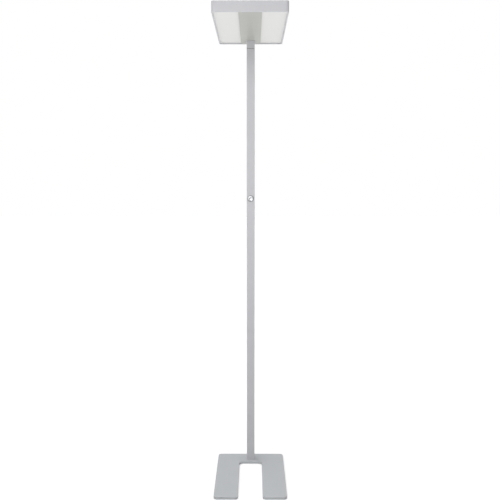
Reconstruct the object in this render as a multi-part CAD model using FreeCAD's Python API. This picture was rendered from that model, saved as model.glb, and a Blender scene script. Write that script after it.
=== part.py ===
import FreeCAD, Part
import math
import os

from FreeCAD import Vector

# Office floor lamp for direct and indirect light. Millimetres, +Z up, the front is -Y.
# The origin lies on the floor, under the middle of the head. The rear edges of the head
# and of the base plate are in line, and the square pole stands a little inside them.

# ---- Driving dimensions: the whole lamp ----
TOTAL_HEIGHT = 1950.0
HEAD_WIDTH = 280.0
HEAD_LENGTH = 606.0
HEAD_THICKNESS = 40.0
HEAD_CORNER = 11.0
POLE_SIDE = 35.0
POLE_WALL = 2.0
POLE_CORNER = 2.5
POLE_INSET = 56.0          # pole axis, from the rear edges of head and base
NECK_LENGTH = 30.0         # neck that shows under the head
SEAM_GAP = 2.0             # shadow gap between pole and neck
BUTTON_HEIGHT = 1225.0

# ---- Base plate and glides ----
BASE_WIDTH = 304.0
BASE_LENGTH = 444.0
PLATE_THICKNESS = 10.0
BASE_CORNER = 15.0
NOTCH_WIDTH = 103.0
NOTCH_CORNER = 19.0
MOUTH_CORNER = 12.0        # where the notch opens to the front
WEB_DEPTH = 90.0           # plate behind the notch
PLATE_EDGE = 0.6           # broken top edge
GLIDE_STAND = 1.5
GLIDE_SIDE = 22.0
GLIDE_INSET = 26.0         # glide centre, from the plate's edges

# ---- Foot of the pole ----
FOOT_HEIGHT = 12.0
FOOT_SCREW_RADIUS = 3.0
FOOT_SCREW_LENGTH = 10.0   # thread in the foot plug
FOOT_SCREW_FLATS = 10.0    # across the hexagon head
FOOT_SCREW_HEAD = 3.6
FOOT_SCREW_OFFSET = 8.5    # before and behind the pole's axis
COUNTERBORE_RADIUS = 6.6
COUNTERBORE_DEPTH = 4.0
GLAND_HEIGHT = 24.0        # gland axis above the base plate
GLAND_NECK_RADIUS = 6.0
GLAND_BORE_RADIUS = 3.7
GLAND_FLANGE_RADIUS = 8.5
GLAND_FLANGE = 2.5
GLAND_REACH = 2.0          # inside the pole's wall
BRACKET_SHEET = 1.2
BRACKET_SETBACK = 7.0      # bracket's leg, in front of the pole's axis
TERMINAL_WIDTH = 24.0
TERMINAL_DEPTH = 15.5
TERMINAL_HEIGHT = 22.0
TERMINAL_LIFT = 46.0       # terminal above the foot plug

# ---- Leads ----
SUPPLY_WIDTH = 9.0         # flat three-core lead
SUPPLY_THICKNESS = 3.2
SUPPLY_X = -5.5            # from the pole axis
SUPPLY_Y = 4.5
SUPPLY_BEND = 20.0
CONTROL_WIDTH = 6.0        # flat signal lead
CONTROL_THICKNESS = 1.6
CONTROL_X = 6.6
CONTROL_Y = 4.5
CONTROL_BEND = 14.0
TWIN_WIDTH = 3.0           # flat twin leads to the boards
TWIN_THICKNESS = 1.4
TWIN_BEND = 4.0

# ---- Push button ----
BUTTON_RADIUS = 12.0
BUTTON_GAP = 0.3
BUTTON_RECESS = 1.5
BUTTON_DISH = 1.2
BUTTON_TRAVEL = 1.2
DISH_FLAT = 0.45           # share of the button's radius
DISH_EDGE = 0.93
CAP_RIM = 1.4
CAP_STEM_RADIUS = 2.6
BEZEL_RING = 2.0           # ring that shows round the gap
BEZEL_PROUD = 0.5
BEZEL_EDGE = 0.15          # the rim slopes down to this at its outer edge
BEZEL_WALL = 0.9
BEZEL_DEPTH = 4.6          # behind the pole's front face
HOUSING_WALL = 1.6
HOUSING_DEPTH = 13.0       # sleeve floor's rear face, behind the pole's front face
HOUSING_FLOOR = 1.5
HOUSING_PLATE = 2.0
HOUSING_LENGTH = 64.0
RIB_THICKNESS = 2.4        # cross ribs that the board rests on
HOOK_THICKNESS = 1.2
HOOK_WIDTH = 10.0
HOOK_REACH = 0.8
BOARD_THICKNESS = 1.6
CONTROL_BOARD_WIDTH = 27.0
CONTROL_BOARD_LENGTH = 58.0
CONTROL_SOCKET = 8.0       # length of the lead's socket on the board
SWITCH_SIDE = 12.0
SWITCH_BODY = 3.4
PLUNGER_RADIUS = 2.4
PLUNGER_LENGTH = 2.6
SPRING_WIRE = 0.4          # wire radius
SPRING_RADIUS = 5.6
SPRING_TURNS = 3.5
SPRING_STEPS = 12          # flats in one turn

# ---- Neck ----
SPIGOT_LENGTH = 58.0       # inside the pole
SPIGOT_REACH = 26.0        # inside the neck
SPIGOT_WALL = 4.0
COLLAR_INSET = 1.5         # shadow gap, from the pole's faces
FLANGE_WIDTH = 66.0
FLANGE_LENGTH = 82.0
FLANGE_THICKNESS = 5.0
SLOT_WIDTH = 25.0
SLOT_HEIGHT = 18.0
SLOT_DROP = 2.0            # slot's top below the neck's top

# ---- Head ----
FRAME_WALL = 2.0
FRAME_EDGE = 0.6           # broken outer edges
LIP_WIDTH = 5.0
LIP_HEIGHT = 4.5           # set-back of the diffusers above the lip
RIB_WIDTH = 9.0            # chassis rib, from the frame's outer face
LEDGE_WIDTH = 9.0          # ledge under the top cover, from the frame's outer face
LEDGE_THICKNESS = 2.0
CHASSIS_HEIGHT = 19.0      # chassis sheet above the lip's face
SHEET = 1.5
LID_SINK = 0.6             # lid below the frame's upper rim
CHANNEL_WIDTH = 77.0
CHANNEL_HEIGHT = 16.0
FOLD_RADIUS = 2.4
STRIP_WIDTH = 85.5
STRIP_SETBACK = 1.0
DIFFUSER_THICKNESS = 2.5
DIFFUSER_BORDER = 9.0
DIFFUSER_EMBOSS = 0.6
RAIL_WALL = 1.5
RAIL_FLANGE = 11.0
RAIL_HOOK = 1.0
HOOK_LIFT = 1.0            # hook's lower edge above the diffuser's lower face
CLIP_WALL = 1.2
CLIP_HEIGHT = 7.5
REFLECTOR_WALL = 1.2
REFLECTOR_MARGIN = 3.0     # round the board
REFLECTOR_LIP = 1.5        # its mouth, inside the frame's lip
DOWN_BOARD_WIDTH = 40.0
DOWN_BOARD_LENGTH = 520.0
DOWN_CHIPS = 14
UP_BOARD_WIDTH = 30.0
UP_BOARD_LENGTH = 440.0
UP_CHIPS = 12
CHIP_SIDE = 3.0
CHIP_HEIGHT = 0.8
BOARD_SOCKET = 8.0
BOARD_SOCKET_HEIGHT = 4.4
WINDOW_WIDTH = 60.0
WINDOW_LENGTH = 480.0
WINDOW_CORNER = 6.0
PANE_FLANGE = 4.0
PANE_THICKNESS = 2.0
DRIVER_WIDTH = 50.0
DRIVER_LENGTH = 300.0
DRIVER_HEIGHT = 18.0
DRIVER_CORNER = 3.0
STRAP_WIDTH = 14.0
STRAP_LIP = 8.0
HEAD_TERMINAL_LENGTH = 20.0
HEAD_TERMINAL_HEIGHT = 20.0
TERMINAL_GAP = 20.0        # from the driver's end
FLANGE_GAP = 16.0          # between the terminal and the neck's flange

# ---- Clearances ----
FIT = 0.1                  # a plug in its tube, on each side
PLAY = 0.3                 # between sheets, covers and panes
RUN = 0.05                 # a shank in its hole, on the radius

# ---- Places worked out from them ----
POLE_Y = HEAD_LENGTH / 2 - POLE_INSET
PLATE_TOP = GLIDE_STAND + PLATE_THICKNESS
HEAD_BOTTOM = TOTAL_HEIGHT - HEAD_THICKNESS
NECK_BOTTOM = HEAD_BOTTOM - NECK_LENGTH
POLE_TOP = NECK_BOTTOM - SEAM_GAP
POLE_FRONT = POLE_Y - POLE_SIDE / 2
POLE_REAR = POLE_Y + POLE_SIDE / 2
POLE_BORE = POLE_SIDE - 2 * POLE_WALL
PLUG_SIDE = POLE_BORE - 2 * FIT
FOOT_TOP = PLATE_TOP + FOOT_HEIGHT
TERMINAL_BOTTOM = FOOT_TOP + TERMINAL_LIFT
TERMINAL_TOP = TERMINAL_BOTTOM + TERMINAL_HEIGHT

DIFFUSER_BOTTOM = HEAD_BOTTOM + LIP_HEIGHT
DIFFUSER_TOP = DIFFUSER_BOTTOM + DIFFUSER_THICKNESS
CHASSIS_BOTTOM = HEAD_BOTTOM + CHASSIS_HEIGHT
CHASSIS_TOP = CHASSIS_BOTTOM + SHEET
RIB_BOTTOM = CHASSIS_BOTTOM - LEDGE_THICKNESS
CHANNEL_TOP = CHASSIS_BOTTOM + CHANNEL_HEIGHT
CHANNEL_CEILING = CHANNEL_TOP - SHEET
COVER_TOP = TOTAL_HEIGHT - LID_SINK
COVER_BOTTOM = COVER_TOP - SHEET
LEDGE_BOTTOM = COVER_BOTTOM - LEDGE_THICKNESS
STRIP_BOTTOM = HEAD_BOTTOM + STRIP_SETBACK
STRIP_TOP = STRIP_BOTTOM + SHEET
INNER_WIDTH = HEAD_WIDTH - 2 * (FRAME_WALL + PLAY)
INNER_LENGTH = HEAD_LENGTH - 2 * (FRAME_WALL + PLAY)
INNER_CORNER = max(HEAD_CORNER - FRAME_WALL - PLAY, 1.0)
FIELD_INNER = STRIP_WIDTH / 2
FIELD_OUTER = HEAD_WIDTH / 2 - LIP_WIDTH
FIELD_CENTRE = (FIELD_INNER + FIELD_OUTER) / 2
FIELD_LENGTH = HEAD_LENGTH - 2 * LIP_WIDTH
RAIL_X = CHANNEL_WIDTH / 2
NECK_TOP = CHANNEL_CEILING - FLANGE_THICKNESS
SUPPLY_HEIGHT = CHASSIS_BOTTOM - 1.0
CONTROL_LEAD_HEIGHT = CHASSIS_BOTTOM + 1.0
DRIVER_BOTTOM = CHANNEL_CEILING - DRIVER_HEIGHT
HEAD_TERMINAL_REAR = POLE_Y - FLANGE_LENGTH / 2 - FLANGE_GAP
HEAD_TERMINAL_FRONT = HEAD_TERMINAL_REAR - HEAD_TERMINAL_LENGTH
DRIVER_REAR = HEAD_TERMINAL_FRONT - TERMINAL_GAP
DRIVER_FRONT = DRIVER_REAR - DRIVER_LENGTH

CAP_FACE = BUTTON_RECESS
CAP_STOP = BEZEL_DEPTH + FIT
CAP_BACK = CAP_STOP + CAP_RIM
BEZEL_BORE = BUTTON_RADIUS + BUTTON_GAP
BEZEL_NECK = BEZEL_BORE + BEZEL_WALL
HOUSING_BORE = BEZEL_NECK + RUN
HOUSING_HALF = HOUSING_BORE + HOUSING_WALL
FLOOR_FRONT = HOUSING_DEPTH - HOUSING_FLOOR
SWITCH_FRONT = HOUSING_DEPTH
BOARD_FRONT = SWITCH_FRONT + SWITCH_BODY
PLUNGER_FRONT = SWITCH_FRONT - BUTTON_TRAVEL


# ---- Shapes that are used again and again ----
def box(x_low, x_high, y_low, y_high, z_low, z_high):
    """Plain block between two corners."""
    return Part.makeBox(x_high - x_low, y_high - y_low, z_high - z_low, Vector(x_low, y_low, z_low))


def upright_edges(shape):
    """The straight edges that run along Z."""
    lines = [edge for edge in shape.Edges if isinstance(edge.Curve, Part.Line)]
    return [edge for edge in lines if abs(abs(edge.Curve.Direction.z) - 1) < 1e-9]


def slab(width, length, corner, bottom, top, x=0.0, y=0.0):
    """Plate centred on x, y with its four upright corners rounded."""
    block = box(x - width / 2, x + width / 2, y - length / 2, y + length / 2, bottom, top)
    return block.makeFillet(corner, upright_edges(block))


def edges_at_height(shape, height):
    """The edges that lie flat at one height."""
    return [
        edge for edge in shape.Edges
        if abs(edge.BoundBox.ZMin - height) < 1e-6 and abs(edge.BoundBox.ZMax - height) < 1e-6
    ]


def turned(profile):
    """Solid turned about Z from points of radius and height."""
    points = [Vector(radius, 0, height) for radius, height in profile]
    face = Part.Face(Part.makePolygon(points + [points[0]]))
    return face.revolve(Vector(0, 0, 0), Vector(0, 0, 1), 360)


def rod(radius, low, high, x=0.0, y=0.0):
    """Upright round bar."""
    return Part.makeCylinder(radius, high - low, Vector(x, y, low))


def facing_front(shape, height):
    """Turns a piece modelled about Z so that it looks out of the pole's front face.

    Depth behind the face was modelled as height below z = 0.
    """
    shape.rotate(Vector(0, 0, 0), Vector(1, 0, 0), 90)
    shape.translate(Vector(0, POLE_FRONT, height))
    return shape


def facing_rear(shape, height):
    """The same for the pole's rear face."""
    shape.rotate(Vector(0, 0, 0), Vector(1, 0, 0), -90)
    shape.translate(Vector(0, POLE_REAR, height))
    return shape


def moved(shape, x, y, z):
    """Copy of a shape at another place."""
    copy = shape.copy()
    copy.translate(Vector(x, y, z))
    return copy


def mirrored(shape, side):
    """The shape itself on the right, its mirror image on the left."""
    if side > 0:
        return shape
    return shape.mirror(Vector(0, 0, 0), Vector(1, 0, 0))


def square_bar(side, bottom, top):
    """Upright bar on the pole's axis, with plain corners."""
    half = side / 2
    return box(-half, half, POLE_Y - half, POLE_Y + half, bottom, top)


def square_tube(bottom, top):
    """Upright square tube of the pole's section, rounded outside."""
    outside = slab(POLE_SIDE, POLE_SIDE, POLE_CORNER, bottom, top, 0.0, POLE_Y)
    return outside.cut(square_bar(POLE_BORE, bottom, top))


def rounded_path(points, bend):
    """Straight runs between points, joined by tangent arcs."""
    edges = []
    start = points[0]
    for corner, after in zip(points[1:-1], points[2:]):
        into = (corner - start).normalize()
        out = (after - corner).normalize()
        turn = into.getAngle(out)
        reach = bend * math.tan(turn / 2)
        arc_start = corner - into * reach
        arc_end = corner + out * reach
        middle_way = (out - into).normalize()
        arc_middle = corner + middle_way * (bend / math.cos(turn / 2) - bend)
        edges.append(Part.LineSegment(start, arc_start).toShape())
        edges.append(Part.Arc(arc_start, arc_middle, arc_end).toShape())
        start = arc_end
    edges.append(Part.LineSegment(start, points[-1]).toShape())
    return Part.Wire(edges)


def flat_lead(name, points, width, thickness, bend):
    """Flat lead along its path, its width square to the first bend; prints what a lead is checked by."""
    path = rounded_path(points, bend)
    run = (points[1] - points[0]).normalize()
    turn = (points[2] - points[1]).normalize()
    across = run.cross(turn) * (width / 2)
    deep = turn * (thickness / 2)
    start = points[0]
    corners = [start + across + deep, start + across - deep, start - across - deep, start - across + deep]
    section = Part.makePolygon(corners + [corners[0]])
    band = path.makePipeShell([section], True, False)
    share = band.Volume / (width * thickness * path.Length)
    print(f"{name}: length {path.Length:.1f}, bend radius {bend:.1f}, volume / section x length {share:.4f}")
    return band


def save(name, *solids):
    """Writes one piece, or a group of like pieces, under its name."""
    shape = solids[0] if len(solids) == 1 else Part.makeCompound(list(solids))
    shape.exportStep(f"parts/{name}.step")


# ---- Base ----
def glide_places():
    """Glide centres: one pair at the tips of the legs, one at the rear corners."""
    rear = HEAD_LENGTH / 2
    front = rear - BASE_LENGTH
    leg_x = (BASE_WIDTH + NOTCH_WIDTH) / 4
    rows = [(leg_x, front + GLIDE_INSET), (BASE_WIDTH / 2 - GLIDE_INSET, rear - GLIDE_INSET)]
    return [(side * x, y) for x, y in rows for side in (-1, 1)]


def foot_screw_places():
    """Two screws, before and behind the pole's axis."""
    return [(0.0, POLE_Y - FOOT_SCREW_OFFSET), (0.0, POLE_Y + FOOT_SCREW_OFFSET)]


def base_plate():
    """Laser-cut U plate, open to the front, with two counterbores below."""
    rear = HEAD_LENGTH / 2
    front = rear - BASE_LENGTH
    plate = slab(BASE_WIDTH, BASE_LENGTH, BASE_CORNER, GLIDE_STAND, PLATE_TOP, 0.0, (front + rear) / 2)
    notch_rear = rear - WEB_DEPTH
    notch_length = notch_rear - front + 2 * NOTCH_CORNER
    notch = slab(NOTCH_WIDTH, notch_length, NOTCH_CORNER, 0, 2 * PLATE_TOP, 0.0, notch_rear - notch_length / 2)
    plate = plate.cut(notch)
    mouth = [
        edge for edge in upright_edges(plate)
        if abs(abs(edge.Vertexes[0].X) - NOTCH_WIDTH / 2) < 1e-6 and abs(edge.Vertexes[0].Y - front) < 1e-6
    ]
    plate = plate.makeFillet(MOUTH_CORNER, mouth)
    plate = plate.makeChamfer(PLATE_EDGE, edges_at_height(plate, PLATE_TOP))
    for x, y in foot_screw_places():
        plate = plate.cut(rod(COUNTERBORE_RADIUS, GLIDE_STAND, GLIDE_STAND + COUNTERBORE_DEPTH, x, y))
        plate = plate.cut(rod(FOOT_SCREW_RADIUS + RUN, GLIDE_STAND, PLATE_TOP, x, y))
    return plate


def base_glides():
    """Square rubber pads under the plate."""
    half = GLIDE_SIDE / 2
    return [box(x - half, x + half, y - half, y + half, 0, GLIDE_STAND) for x, y in glide_places()]


def base_screws():
    """Hexagon screws from below, sunk in the plate and screwed into the foot plug."""
    seat = GLIDE_STAND + COUNTERBORE_DEPTH
    corner = FOOT_SCREW_FLATS / math.sqrt(3)
    angles = [step * math.pi / 3 for step in range(7)]
    outline = Part.makePolygon([Vector(corner * math.cos(a), corner * math.sin(a), 0) for a in angles])
    head = Part.Face(outline).extrude(Vector(0, 0, FOOT_SCREW_HEAD))
    shank = rod(FOOT_SCREW_RADIUS, seat, PLATE_TOP + FOOT_SCREW_LENGTH)
    screw = moved(head, 0, 0, seat - FOOT_SCREW_HEAD).fuse(shank)
    return [moved(screw, x, y, 0) for x, y in foot_screw_places()]


# ---- Pole and foot ----
def pole_tube():
    """Square tube with the button's hole in front and the gland's hole behind."""
    tube = square_tube(PLATE_TOP, POLE_TOP)
    through_wall = POLE_WALL + POLE_BORE / 4
    tube = tube.cut(facing_front(rod(BEZEL_NECK + RUN, -through_wall, 1), BUTTON_HEIGHT))
    return tube.cut(facing_rear(rod(GLAND_NECK_RADIUS + RUN, -through_wall, 1), PLATE_TOP + GLAND_HEIGHT))


def pole_foot():
    """Steel plug welded in the pole's lower end, with two tapped holes."""
    plug = square_bar(PLUG_SIDE, PLATE_TOP, FOOT_TOP)
    for x, y in foot_screw_places():
        plug = plug.cut(rod(FOOT_SCREW_RADIUS + RUN, PLATE_TOP, FOOT_TOP, x, y))
    return plug


def cable_gland():
    """Bush in the pole's rear wall; its bore is where a cord goes in."""
    bush = turned([
        (GLAND_BORE_RADIUS, -POLE_WALL - GLAND_REACH), (GLAND_NECK_RADIUS, -POLE_WALL - GLAND_REACH),
        (GLAND_NECK_RADIUS, 0), (GLAND_FLANGE_RADIUS, 0), (GLAND_FLANGE_RADIUS, GLAND_FLANGE),
        (GLAND_BORE_RADIUS, GLAND_FLANGE),
    ])
    return facing_rear(bush, PLATE_TOP + GLAND_HEIGHT)


def terminal_bracket():
    """Folded sheet angle, its foot welded on the foot plug and its leg in front of the terminal block."""
    front = POLE_Y - PLUG_SIDE / 2
    back = POLE_Y - BRACKET_SETBACK
    half = TERMINAL_WIDTH / 2
    foot = box(-half, half, front, back, FOOT_TOP, FOOT_TOP + BRACKET_SHEET)
    leg = box(-half, half, back - BRACKET_SHEET, back, FOOT_TOP, TERMINAL_TOP)
    return foot.fuse(leg).removeSplitter()


def foot_terminal():
    """Three-pole terminal block on the bracket, its clamp mouths open below."""
    half = TERMINAL_WIDTH / 2
    front = POLE_Y - BRACKET_SETBACK
    block = box(-half, half, front, front + TERMINAL_DEPTH, TERMINAL_BOTTOM, TERMINAL_TOP)
    mouth = TERMINAL_WIDTH / 8
    middle = front + TERMINAL_DEPTH / 2
    for pole in (-1, 0, 1):
        x = pole * TERMINAL_WIDTH / 3
        block = block.cut(box(x - mouth / 2, x + mouth / 2, middle - mouth / 2, middle + mouth / 2,
                              TERMINAL_BOTTOM, TERMINAL_BOTTOM + TERMINAL_HEIGHT / 3))
    return block


# ---- Leads ----
def supply_lead():
    """From the foot terminal straight up the pole, then forward to the head's terminal."""
    y = POLE_Y + SUPPLY_Y
    points = [
        Vector(SUPPLY_X, y, TERMINAL_TOP),
        Vector(SUPPLY_X, y, SUPPLY_HEIGHT),
        Vector(SUPPLY_X, HEAD_TERMINAL_REAR, SUPPLY_HEIGHT),
    ]
    return flat_lead("supply_lead", points, SUPPLY_WIDTH, SUPPLY_THICKNESS, SUPPLY_BEND)


def control_lead():
    """From the control board's socket up the pole, then forward past the terminal to the driver."""
    y = POLE_Y + CONTROL_Y
    points = [
        Vector(CONTROL_X, y, BUTTON_HEIGHT + CONTROL_BOARD_LENGTH / 4),
        Vector(CONTROL_X, y, CONTROL_LEAD_HEIGHT),
        Vector(CONTROL_X, DRIVER_REAR, CONTROL_LEAD_HEIGHT),
    ]
    return flat_lead("control_lead", points, CONTROL_WIDTH, CONTROL_THICKNESS, CONTROL_BEND)


# ---- Push button: depths are below z = 0, the pole's front face ----
def button_bezel():
    """Ring in the pole's hole: a thin rim outside, a neck through the wall into the housing."""
    rim = BEZEL_BORE + BEZEL_RING
    ring = turned([
        (BEZEL_BORE, -BEZEL_DEPTH), (BEZEL_NECK, -BEZEL_DEPTH), (BEZEL_NECK, 0), (rim, 0),
        (rim, BEZEL_EDGE), (BEZEL_BORE, BEZEL_PROUD),
    ])
    return facing_front(ring, BUTTON_HEIGHT)


def button_cap():
    """Dished cap with a stop rim behind the bezel and a stem that meets the plunger."""
    rim = BEZEL_NECK - 2 * BUTTON_GAP
    floor = -CAP_FACE - BUTTON_DISH
    body = turned([
        (0, floor), (DISH_FLAT * BUTTON_RADIUS, floor), (DISH_EDGE * BUTTON_RADIUS, -CAP_FACE),
        (BUTTON_RADIUS, -CAP_FACE), (BUTTON_RADIUS, -CAP_STOP), (rim, -CAP_STOP), (rim, -CAP_BACK),
        (CAP_STEM_RADIUS, -CAP_BACK), (CAP_STEM_RADIUS, -PLUNGER_FRONT), (0, -PLUNGER_FRONT),
    ])
    return facing_front(body, BUTTON_HEIGHT)


def button_housing():
    """Moulded sleeve behind the pole's wall, with ribs and two hooks that hold the board."""
    front = -POLE_WALL
    half = PLUG_SIDE / 2
    end = HOUSING_LENGTH / 2
    body = box(-half, half, -end, end, front - HOUSING_PLATE, front)
    sleeve = min(HOUSING_HALF, half)
    body = body.fuse(box(-sleeve, sleeve, -sleeve, sleeve, -HOUSING_DEPTH, front))
    hook_half = HOOK_WIDTH / 2
    board_end = CONTROL_BOARD_LENGTH / 2
    hook_top = -BOARD_FRONT - BOARD_THICKNESS - FIT
    for side in (-1, 1):
        rib = sorted((side * (board_end - 2 * RIB_THICKNESS), side * (board_end - RIB_THICKNESS)))
        arm = sorted((side * (board_end + FIT), side * (board_end + FIT + HOOK_THICKNESS)))
        nose = sorted((side * (board_end - HOOK_REACH), side * (board_end + FIT + HOOK_THICKNESS)))
        body = body.fuse(box(-half, half, rib[0], rib[1], -BOARD_FRONT, front))
        body = body.fuse(box(-hook_half, hook_half, arm[0], arm[1], hook_top - HOOK_THICKNESS, front))
        body = body.fuse(box(-hook_half, hook_half, nose[0], nose[1], hook_top - HOOK_THICKNESS, hook_top))
    body = body.cut(rod(HOUSING_BORE, -FLOOR_FRONT, front))
    body = body.cut(rod(CAP_STEM_RADIUS + 2 * BUTTON_GAP, -HOUSING_DEPTH, front))
    return facing_front(body.removeSplitter(), BUTTON_HEIGHT)


def button_spring():
    """Compression spring between housing and cap: a six-sided wire that steps round a helix in flats."""
    low = -FLOOR_FRONT + SPRING_WIRE + FIT / 2
    high = -CAP_BACK - SPRING_WIRE - FIT / 2
    count = round(SPRING_TURNS * SPRING_STEPS)
    rings = []
    for step in range(count + 1):
        angle = 2 * math.pi * step / SPRING_STEPS
        outward = Vector(math.cos(angle), math.sin(angle), 0)
        centre = outward * SPRING_RADIUS + Vector(0, 0, low + (high - low) * step / count)
        rings.append([
            centre + outward * (SPRING_WIRE * math.cos(side * math.pi / 3))
            + Vector(0, 0, SPRING_WIRE * math.sin(side * math.pi / 3))
            for side in range(6)
        ])
    faces = [Part.Face(Part.makePolygon(ring + [ring[0]])) for ring in (rings[0], rings[-1])]
    for before, after in zip(rings, rings[1:]):
        for side in range(6):
            a, b = before[side], before[(side + 1) % 6]
            c, d = after[(side + 1) % 6], after[side]
            faces.append(Part.Face(Part.makePolygon([a, b, c, a])))
            faces.append(Part.Face(Part.makePolygon([a, c, d, a])))
    coil = Part.Solid(Part.Shell(faces))
    if coil.Volume < 0:
        coil.reverse()
    return facing_front(coil, BUTTON_HEIGHT)


def switch_body():
    """Square push switch on the board, open in front for its plunger."""
    half = SWITCH_SIDE / 2
    body = box(-half, half, -half, half, -BOARD_FRONT, -SWITCH_FRONT)
    well = rod(PLUNGER_RADIUS + RUN, -SWITCH_FRONT - PLUNGER_LENGTH - PLAY, -SWITCH_FRONT)
    return facing_front(body.cut(well), BUTTON_HEIGHT)


def switch_plunger():
    """Short pin that the cap's stem pushes into the switch."""
    pin = rod(PLUNGER_RADIUS, -PLUNGER_FRONT - PLUNGER_LENGTH, -PLUNGER_FRONT)
    return facing_front(pin, BUTTON_HEIGHT)


def control_board():
    """Circuit board behind the housing, with the control lead's socket on its rear face."""
    half = CONTROL_BOARD_WIDTH / 2
    end = CONTROL_BOARD_LENGTH / 2
    back = -BOARD_FRONT - BOARD_THICKNESS
    board = box(-half, half, -end, end, back, -BOARD_FRONT)
    socket_depth = POLE_SIDE / 2 + CONTROL_Y + CONTROL_THICKNESS
    socket_half = CONTROL_WIDTH / 2 + PLAY
    high = CONTROL_BOARD_LENGTH / 4
    low = high - CONTROL_SOCKET
    socket = box(CONTROL_X - socket_half, CONTROL_X + socket_half, low, high, -socket_depth, back)
    return facing_front(board.fuse(socket).removeSplitter(), BUTTON_HEIGHT)


# ---- Neck ----
def neck_spigot():
    """Hollow square plug that joins pole and neck, with the collar that shows as the shadow gap."""
    bottom = POLE_TOP - SPIGOT_LENGTH
    top = NECK_BOTTOM + SPIGOT_REACH
    collar_side = POLE_SIDE - 2 * COLLAR_INSET
    collar = slab(collar_side, collar_side, POLE_CORNER - COLLAR_INSET, POLE_TOP, NECK_BOTTOM, 0.0, POLE_Y)
    plug = square_bar(PLUG_SIDE, bottom, top).fuse(collar)
    return plug.cut(square_bar(PLUG_SIDE - 2 * SPIGOT_WALL, bottom, top))


def neck_tube():
    """Tube from the seam into the head, with a slot in front for the leads."""
    tube = square_tube(NECK_BOTTOM, NECK_TOP)
    half = SLOT_WIDTH / 2
    top = NECK_TOP - SLOT_DROP
    return tube.cut(box(-half, half, POLE_FRONT - POLE_WALL, POLE_Y, top - SLOT_HEIGHT, top))


def neck_flange():
    """Plate welded on the neck and under the chassis channel's ceiling."""
    half = FLANGE_WIDTH / 2
    end = FLANGE_LENGTH / 2
    plate = box(-half, half, POLE_Y - end, POLE_Y + end, NECK_TOP, CHANNEL_CEILING)
    return plate.cut(square_bar(POLE_BORE, NECK_TOP, CHANNEL_CEILING))


# ---- Head: frame, chassis and top ----
def head_opening(inset, bottom, top):
    """The room inside the frame at one level; too near the corner's centre it has plain corners."""
    width = HEAD_WIDTH - 2 * inset
    length = HEAD_LENGTH - 2 * inset
    corner = HEAD_CORNER - inset
    if corner < 0.3 * HEAD_CORNER:
        return box(-width / 2, width / 2, -length / 2, length / 2, bottom, top)
    return slab(width, length, corner, bottom, top)


def head_frame():
    """Box frame: a wall with a lip below, a rib for the chassis and a ledge for the top cover."""
    frame = slab(HEAD_WIDTH, HEAD_LENGTH, HEAD_CORNER, HEAD_BOTTOM, TOTAL_HEIGHT)
    rims = edges_at_height(frame, HEAD_BOTTOM) + edges_at_height(frame, TOTAL_HEIGHT)
    frame = frame.makeChamfer(FRAME_EDGE, rims)
    levels = [
        (LIP_WIDTH, HEAD_BOTTOM, DIFFUSER_BOTTOM),
        (FRAME_WALL, DIFFUSER_BOTTOM, RIB_BOTTOM),
        (RIB_WIDTH, RIB_BOTTOM, CHASSIS_BOTTOM),
        (FRAME_WALL, CHASSIS_BOTTOM, LEDGE_BOTTOM),
        (LEDGE_WIDTH, LEDGE_BOTTOM, COVER_BOTTOM),
        (FRAME_WALL, COVER_BOTTOM, TOTAL_HEIGHT),
    ]
    for inset, bottom, top in levels:
        frame = frame.cut(head_opening(inset, bottom, top))
    return frame


def head_chassis():
    """Sheet across the frame, folded up along the middle into a channel for the driver."""
    sheet = slab(INNER_WIDTH, INNER_LENGTH, INNER_CORNER, CHASSIS_BOTTOM, CHASSIS_TOP)
    half = CHANNEL_WIDTH / 2
    end = INNER_LENGTH / 2
    outside = sheet.fuse(box(-half, half, -end, end, CHASSIS_BOTTOM, CHANNEL_TOP)).removeSplitter()
    outer_folds = channel_folds(outside, half, CHANNEL_TOP)
    outside = outside.makeFillet(FOLD_RADIUS, outer_folds)
    inside = box(SHEET - half, half - SHEET, -end, end, CHASSIS_BOTTOM, CHANNEL_CEILING)
    inner_folds = channel_folds(inside, half - SHEET, CHANNEL_CEILING)
    chassis = outside.cut(inside.makeFillet(FOLD_RADIUS - SHEET, inner_folds))
    up_y, down_y, height = twin_rows()
    room = TWIN_WIDTH
    down_x = down_lead_x()
    for side in (-1, 1):
        x = side * (CHANNEL_WIDTH / 2 - SHEET / 2)
        chassis = chassis.cut(box(x - SHEET, x + SHEET, up_y - room, down_y + room, height - room, height + room))
        low_x, high_x = sorted((side * (down_x - room), side * (down_x + room)))
        chassis = chassis.cut(box(low_x, high_x, down_y - room, down_y + room, CHASSIS_BOTTOM, CHASSIS_TOP))
    return chassis


def channel_folds(shape, x, z):
    """The two long edges of the channel's top."""
    return [
        edge for edge in shape.Edges
        if abs(edge.BoundBox.XMax - edge.BoundBox.XMin) < 1e-6
        and abs(abs(edge.BoundBox.XMin) - x) < 1e-6
        and abs(edge.BoundBox.ZMin - z) < 1e-6 and abs(edge.BoundBox.ZMax - z) < 1e-6
    ]


def top_cover():
    """Lid set in the frame on its ledge, with two long windows for the light upwards."""
    lid = slab(INNER_WIDTH, INNER_LENGTH, INNER_CORNER, COVER_BOTTOM, COVER_TOP)
    for side in (-1, 1):
        window = slab(WINDOW_WIDTH, WINDOW_LENGTH, WINDOW_CORNER, COVER_BOTTOM, COVER_TOP, side * FIELD_CENTRE)
        lid = lid.cut(window)
    return lid


def uplight_pane(side):
    """Clear pane under the lid, stepped so that its middle fills the window."""
    x = side * FIELD_CENTRE
    wide = WINDOW_WIDTH / 2 + PANE_FLANGE
    long = WINDOW_LENGTH / 2 + PANE_FLANGE
    flange = box(x - wide, x + wide, -long, long, COVER_BOTTOM - PANE_THICKNESS, COVER_BOTTOM)
    middle = slab(WINDOW_WIDTH - 2 * PLAY, WINDOW_LENGTH - 2 * PLAY, WINDOW_CORNER - PLAY,
                  COVER_BOTTOM - PANE_THICKNESS, COVER_TOP - PLAY, x)
    return flange.fuse(middle)


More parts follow.
